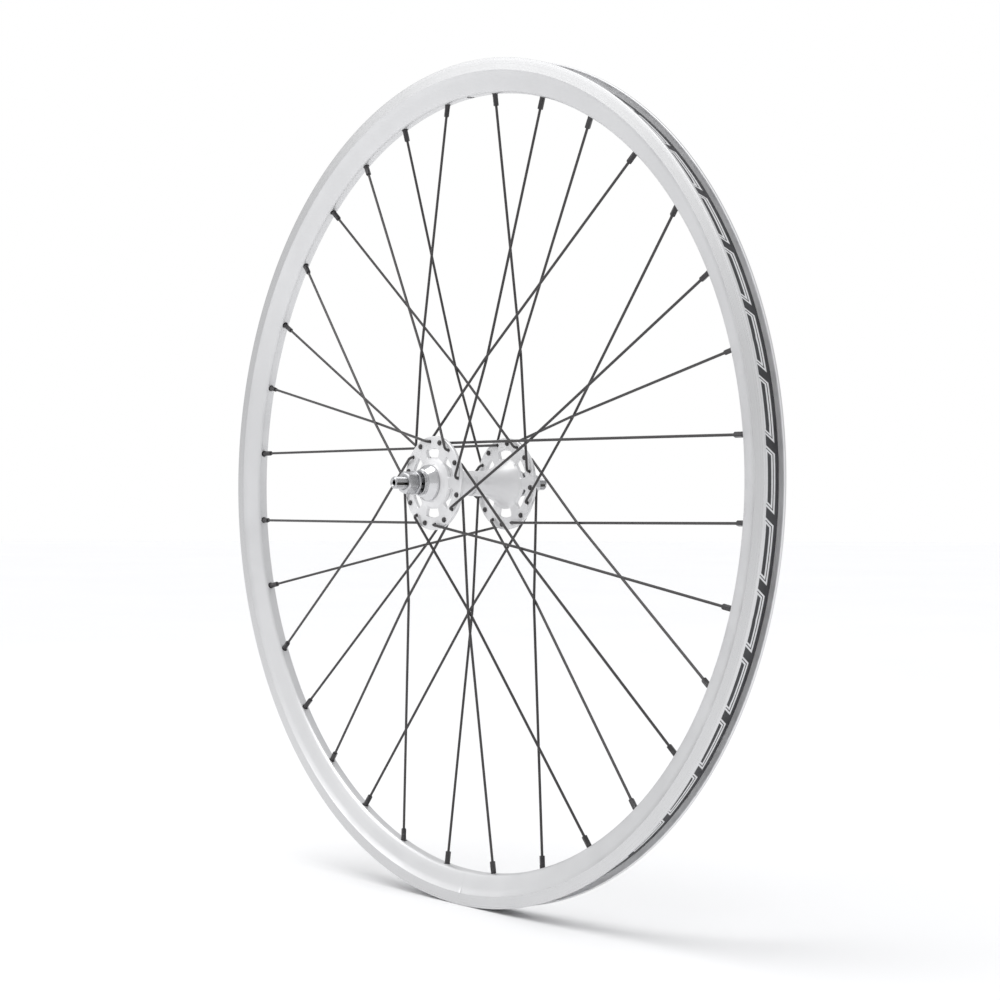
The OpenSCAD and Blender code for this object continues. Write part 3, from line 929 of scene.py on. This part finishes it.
def washer_outline():
    (low, high), edge = WASHER_REACH, 0.3
    return ([(AXLE_R + 0.1, low + 0.15), (AXLE_R + 0.25, low)]
            + arc(WASHER_R - edge, low + edge, edge, -90, 0, 4)
            + arc(WASHER_R - edge, high - edge, edge, 0, 90, 4)
            + [(AXLE_R + 0.25, high), (AXLE_R + 0.1, high - 0.15)])


def locknut_outline():
    (low, high), edge = LOCKNUT_REACH, 0.35
    return ([(BORE_R, low)] + arc(LOCKNUT_R - 0.2, low + 0.2, 0.2, -90, 0, 3)
            + arc(LOCKNUT_R - edge, high - edge, edge, 0, 90, 5)
            + [(BORE_R + 0.5, high), (BORE_R, high - 0.5)])


def locknut_flats(r, y, a):
    """Two flats, 17 mm apart, cut parallel with the axle."""
    return min(r, LOCKNUT_FLATS / 2 / max(abs(math.sin(a)), 1e-6)), y


def cap_outline():
    rim_y, top = SHELL_END_Y + CAP_GAP, LOCKNUT_REACH[0]
    return ([(BORE_R, BEARING_IN_Y), (BEARING_BORE_R, BEARING_IN_Y), (BEARING_BORE_R, SHELL_END_Y),
             (CAP_STUB_R, SHELL_END_Y), (CAP_STUB_R, rim_y)]
            + arc(CAP_R - 0.4, rim_y + 0.4, 0.4, -90, 0, 4)
            + arc(CAP_R - 0.7, rim_y + 1.4, 0.7, 0, 60, 5)
            + arc(CAP_R + 1.6, top + 3.2, 6.4, 228, 206, 8)
            + [(10.4, top), (BORE_R, top)])


def make_hardware():
    steel = plated_steel("plated_axle", (0.56, 0.562, 0.57), 0.28, keyway=True)
    bright = plated_steel("bright_nut", (0.6, 0.602, 0.615), 0.2, 1500)
    polished = plated_steel("polished_cap", (0.68, 0.682, 0.695), 0.16, 2200)
    make_axle(steel)
    for name, side in SIDES.items():
        make_nut(name, side, bright)
        make_ring(name, "plain_washer", side, washer_outline(), bright,
                  f"{name}_washer", "nut_steel", f"{name}_axle_washer")
        make_ring(name, "flatted_locknut", side, locknut_outline(), bright,
                  "axle_assembly", "nut_steel", f"{name}_locknut", locknut_flats)
        make_ring(name, "turned_cap", side, cap_outline(), polished,
                  "axle_assembly", "cap_steel", f"{name}_end_cap")


def dress_hidden_parts():
    """The parts sealed inside the hub and rim keep their CAD shapes."""
    race = plated_steel("ground_race", (0.75, 0.755, 0.77), 0.16, 2600)
    ball = plated_steel("ground_ball", (0.8, 0.805, 0.82), 0.08)
    brass = plated_steel("cage_brass", (0.72, 0.55, 0.27), 0.28)
    turned = plated_steel("turned_spacer", (0.75, 0.755, 0.765), 0.34, 1800)
    finishes = {"axle_spacer": turned, "rim_joint_sleeve": turned}
    seal = rubber()
    for name in SIDES:
        finishes[f"{name}_bearing_outer_race"] = race
        finishes[f"{name}_bearing_inner_race"] = race
        finishes[f"{name}_bearing_balls"] = ball
        finishes[f"{name}_bearing_cage"] = brass
        finishes[f"{name}_bearing_seals"] = seal
    for node, material in finishes.items():
        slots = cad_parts[node].data.materials
        slots.clear()
        slots.append(material)


# ---- Studio ----

CAMERA_AT = Vector((1.2463, -0.9700, -0.0218))
CAMERA_LENS = 75.31
CAMERA_YAW = 51.3
CAMERA_PITCH = 0.34
CAMERA_ROLL = 0.06


def make_camera():
    """Camera at the wheel's height, turned about 51 degrees from facing its right side."""
    data = bpy.data.cameras.new("camera")
    data.lens = CAMERA_LENS
    data.sensor_width = 36
    camera = bpy.data.objects.new("camera", data)
    bpy.context.scene.collection.objects.link(camera)
    yaw, pitch = math.radians(CAMERA_YAW), math.radians(CAMERA_PITCH)
    flat = Vector((-math.sin(yaw), math.cos(yaw), 0))
    forward = flat * math.cos(pitch) + Vector((0, 0, math.sin(pitch)))
    look = forward.to_track_quat("-Z", "Y").to_matrix().to_4x4()
    roll = Matrix.Rotation(math.radians(CAMERA_ROLL), 4, "Z")
    camera.matrix_world = Matrix.Translation(CAMERA_AT) @ look @ roll
    bpy.context.scene.camera = camera


FLOOR_RINGS = (0.3, 0.6, 1.0, 1.6, 2.5, 4.0, 7.0, 12.0, 20.0)
FLOOR_SIDES = 48
FLOOR_GAP = 0.0002


def make_floor():
    """A pale floor under the wheel, with a slightly uneven surface."""
    bm = bmesh.new()
    level = cad_lo.z - FLOOR_GAP
    centre = bm.verts.new((0, 0, level))
    rows = [[bm.verts.new((r * math.cos(a), r * math.sin(a), level)) for a in even_angles(FLOOR_SIDES)]
            for r in FLOOR_RINGS]
    for k in range(FLOOR_SIDES):
        n = (k + 1) % FLOOR_SIDES
        bm.faces.new((centre, rows[0][k], rows[0][n]))
        for near, far in zip(rows, rows[1:]):
            bm.faces.new((near[k], far[k], far[n], near[n]))
    mesh = bpy.data.meshes.new("studio_floor")
    bm.to_mesh(mesh)
    bm.free()
    mesh.materials.append(floor_paint())
    floor = bpy.data.objects.new("studio_floor", mesh)
    bpy.context.scene.collection.objects.link(floor)


def area_light(name, at, aim, size, power):
    data = bpy.data.lights.new(name, "AREA")
    data.shape = "SQUARE"
    data.size = size
    data.energy = power
    light = bpy.data.objects.new(name, data)
    light.location = at
    light.rotation_mode = "QUATERNION"
    light.rotation_quaternion = (Vector(aim) - Vector(at)).to_track_quat("-Z", "Y")
    bpy.context.scene.collection.objects.link(light)


def studio_world():
    """White behind the wheel, and a slightly darker room in what the metal reflects."""
    world = bpy.data.worlds.new("studio")
    world.use_nodes = True
    nodes, links = world.node_tree.nodes, world.node_tree.links
    seen = nodes["Background"]
    seen.inputs["Color"].default_value = (1.0, 1.0, 1.0, 1)
    seen.inputs["Strength"].default_value = 1.0
    room = nodes.new("ShaderNodeBackground")
    room.inputs["Color"].default_value = (0.985, 0.99, 1.0, 1)
    room.inputs["Strength"].default_value = 0.72
    ray = nodes.new("ShaderNodeLightPath")
    mix = nodes.new("ShaderNodeMixShader")
    links.new(ray.outputs["Is Camera Ray"], mix.inputs[0])
    links.new(room.outputs[0], mix.inputs[1])
    links.new(seen.outputs[0], mix.inputs[2])
    links.new(mix.outputs[0], nodes["World Output"].inputs["Surface"])
    bpy.context.scene.world = world


def sky_light(strength, spread, aim):
    """A wide soft light from above, which leaves the floor white."""
    data = bpy.data.lights.new("sky", "SUN")
    data.energy = strength
    data.angle = math.radians(spread)
    light = bpy.data.objects.new("sky", data)
    light.rotation_mode = "QUATERNION"
    light.rotation_quaternion = Vector(aim).to_track_quat("-Z", "Y")
    bpy.context.scene.collection.objects.link(light)


def make_studio():
    studio_world()
    bpy.context.scene.view_settings.view_transform = "Standard"
    sky_light(1.3, 38, (0.12, 0.3, -1))
    area_light("key", (-1.3, -1.6, 1.3), (0, 0, 0), 1.5, 9)
    make_floor()
    make_camera()


make_studio()
make_rim()
make_tape()
make_spokes()
make_hub()
make_hardware()
dress_hidden_parts()
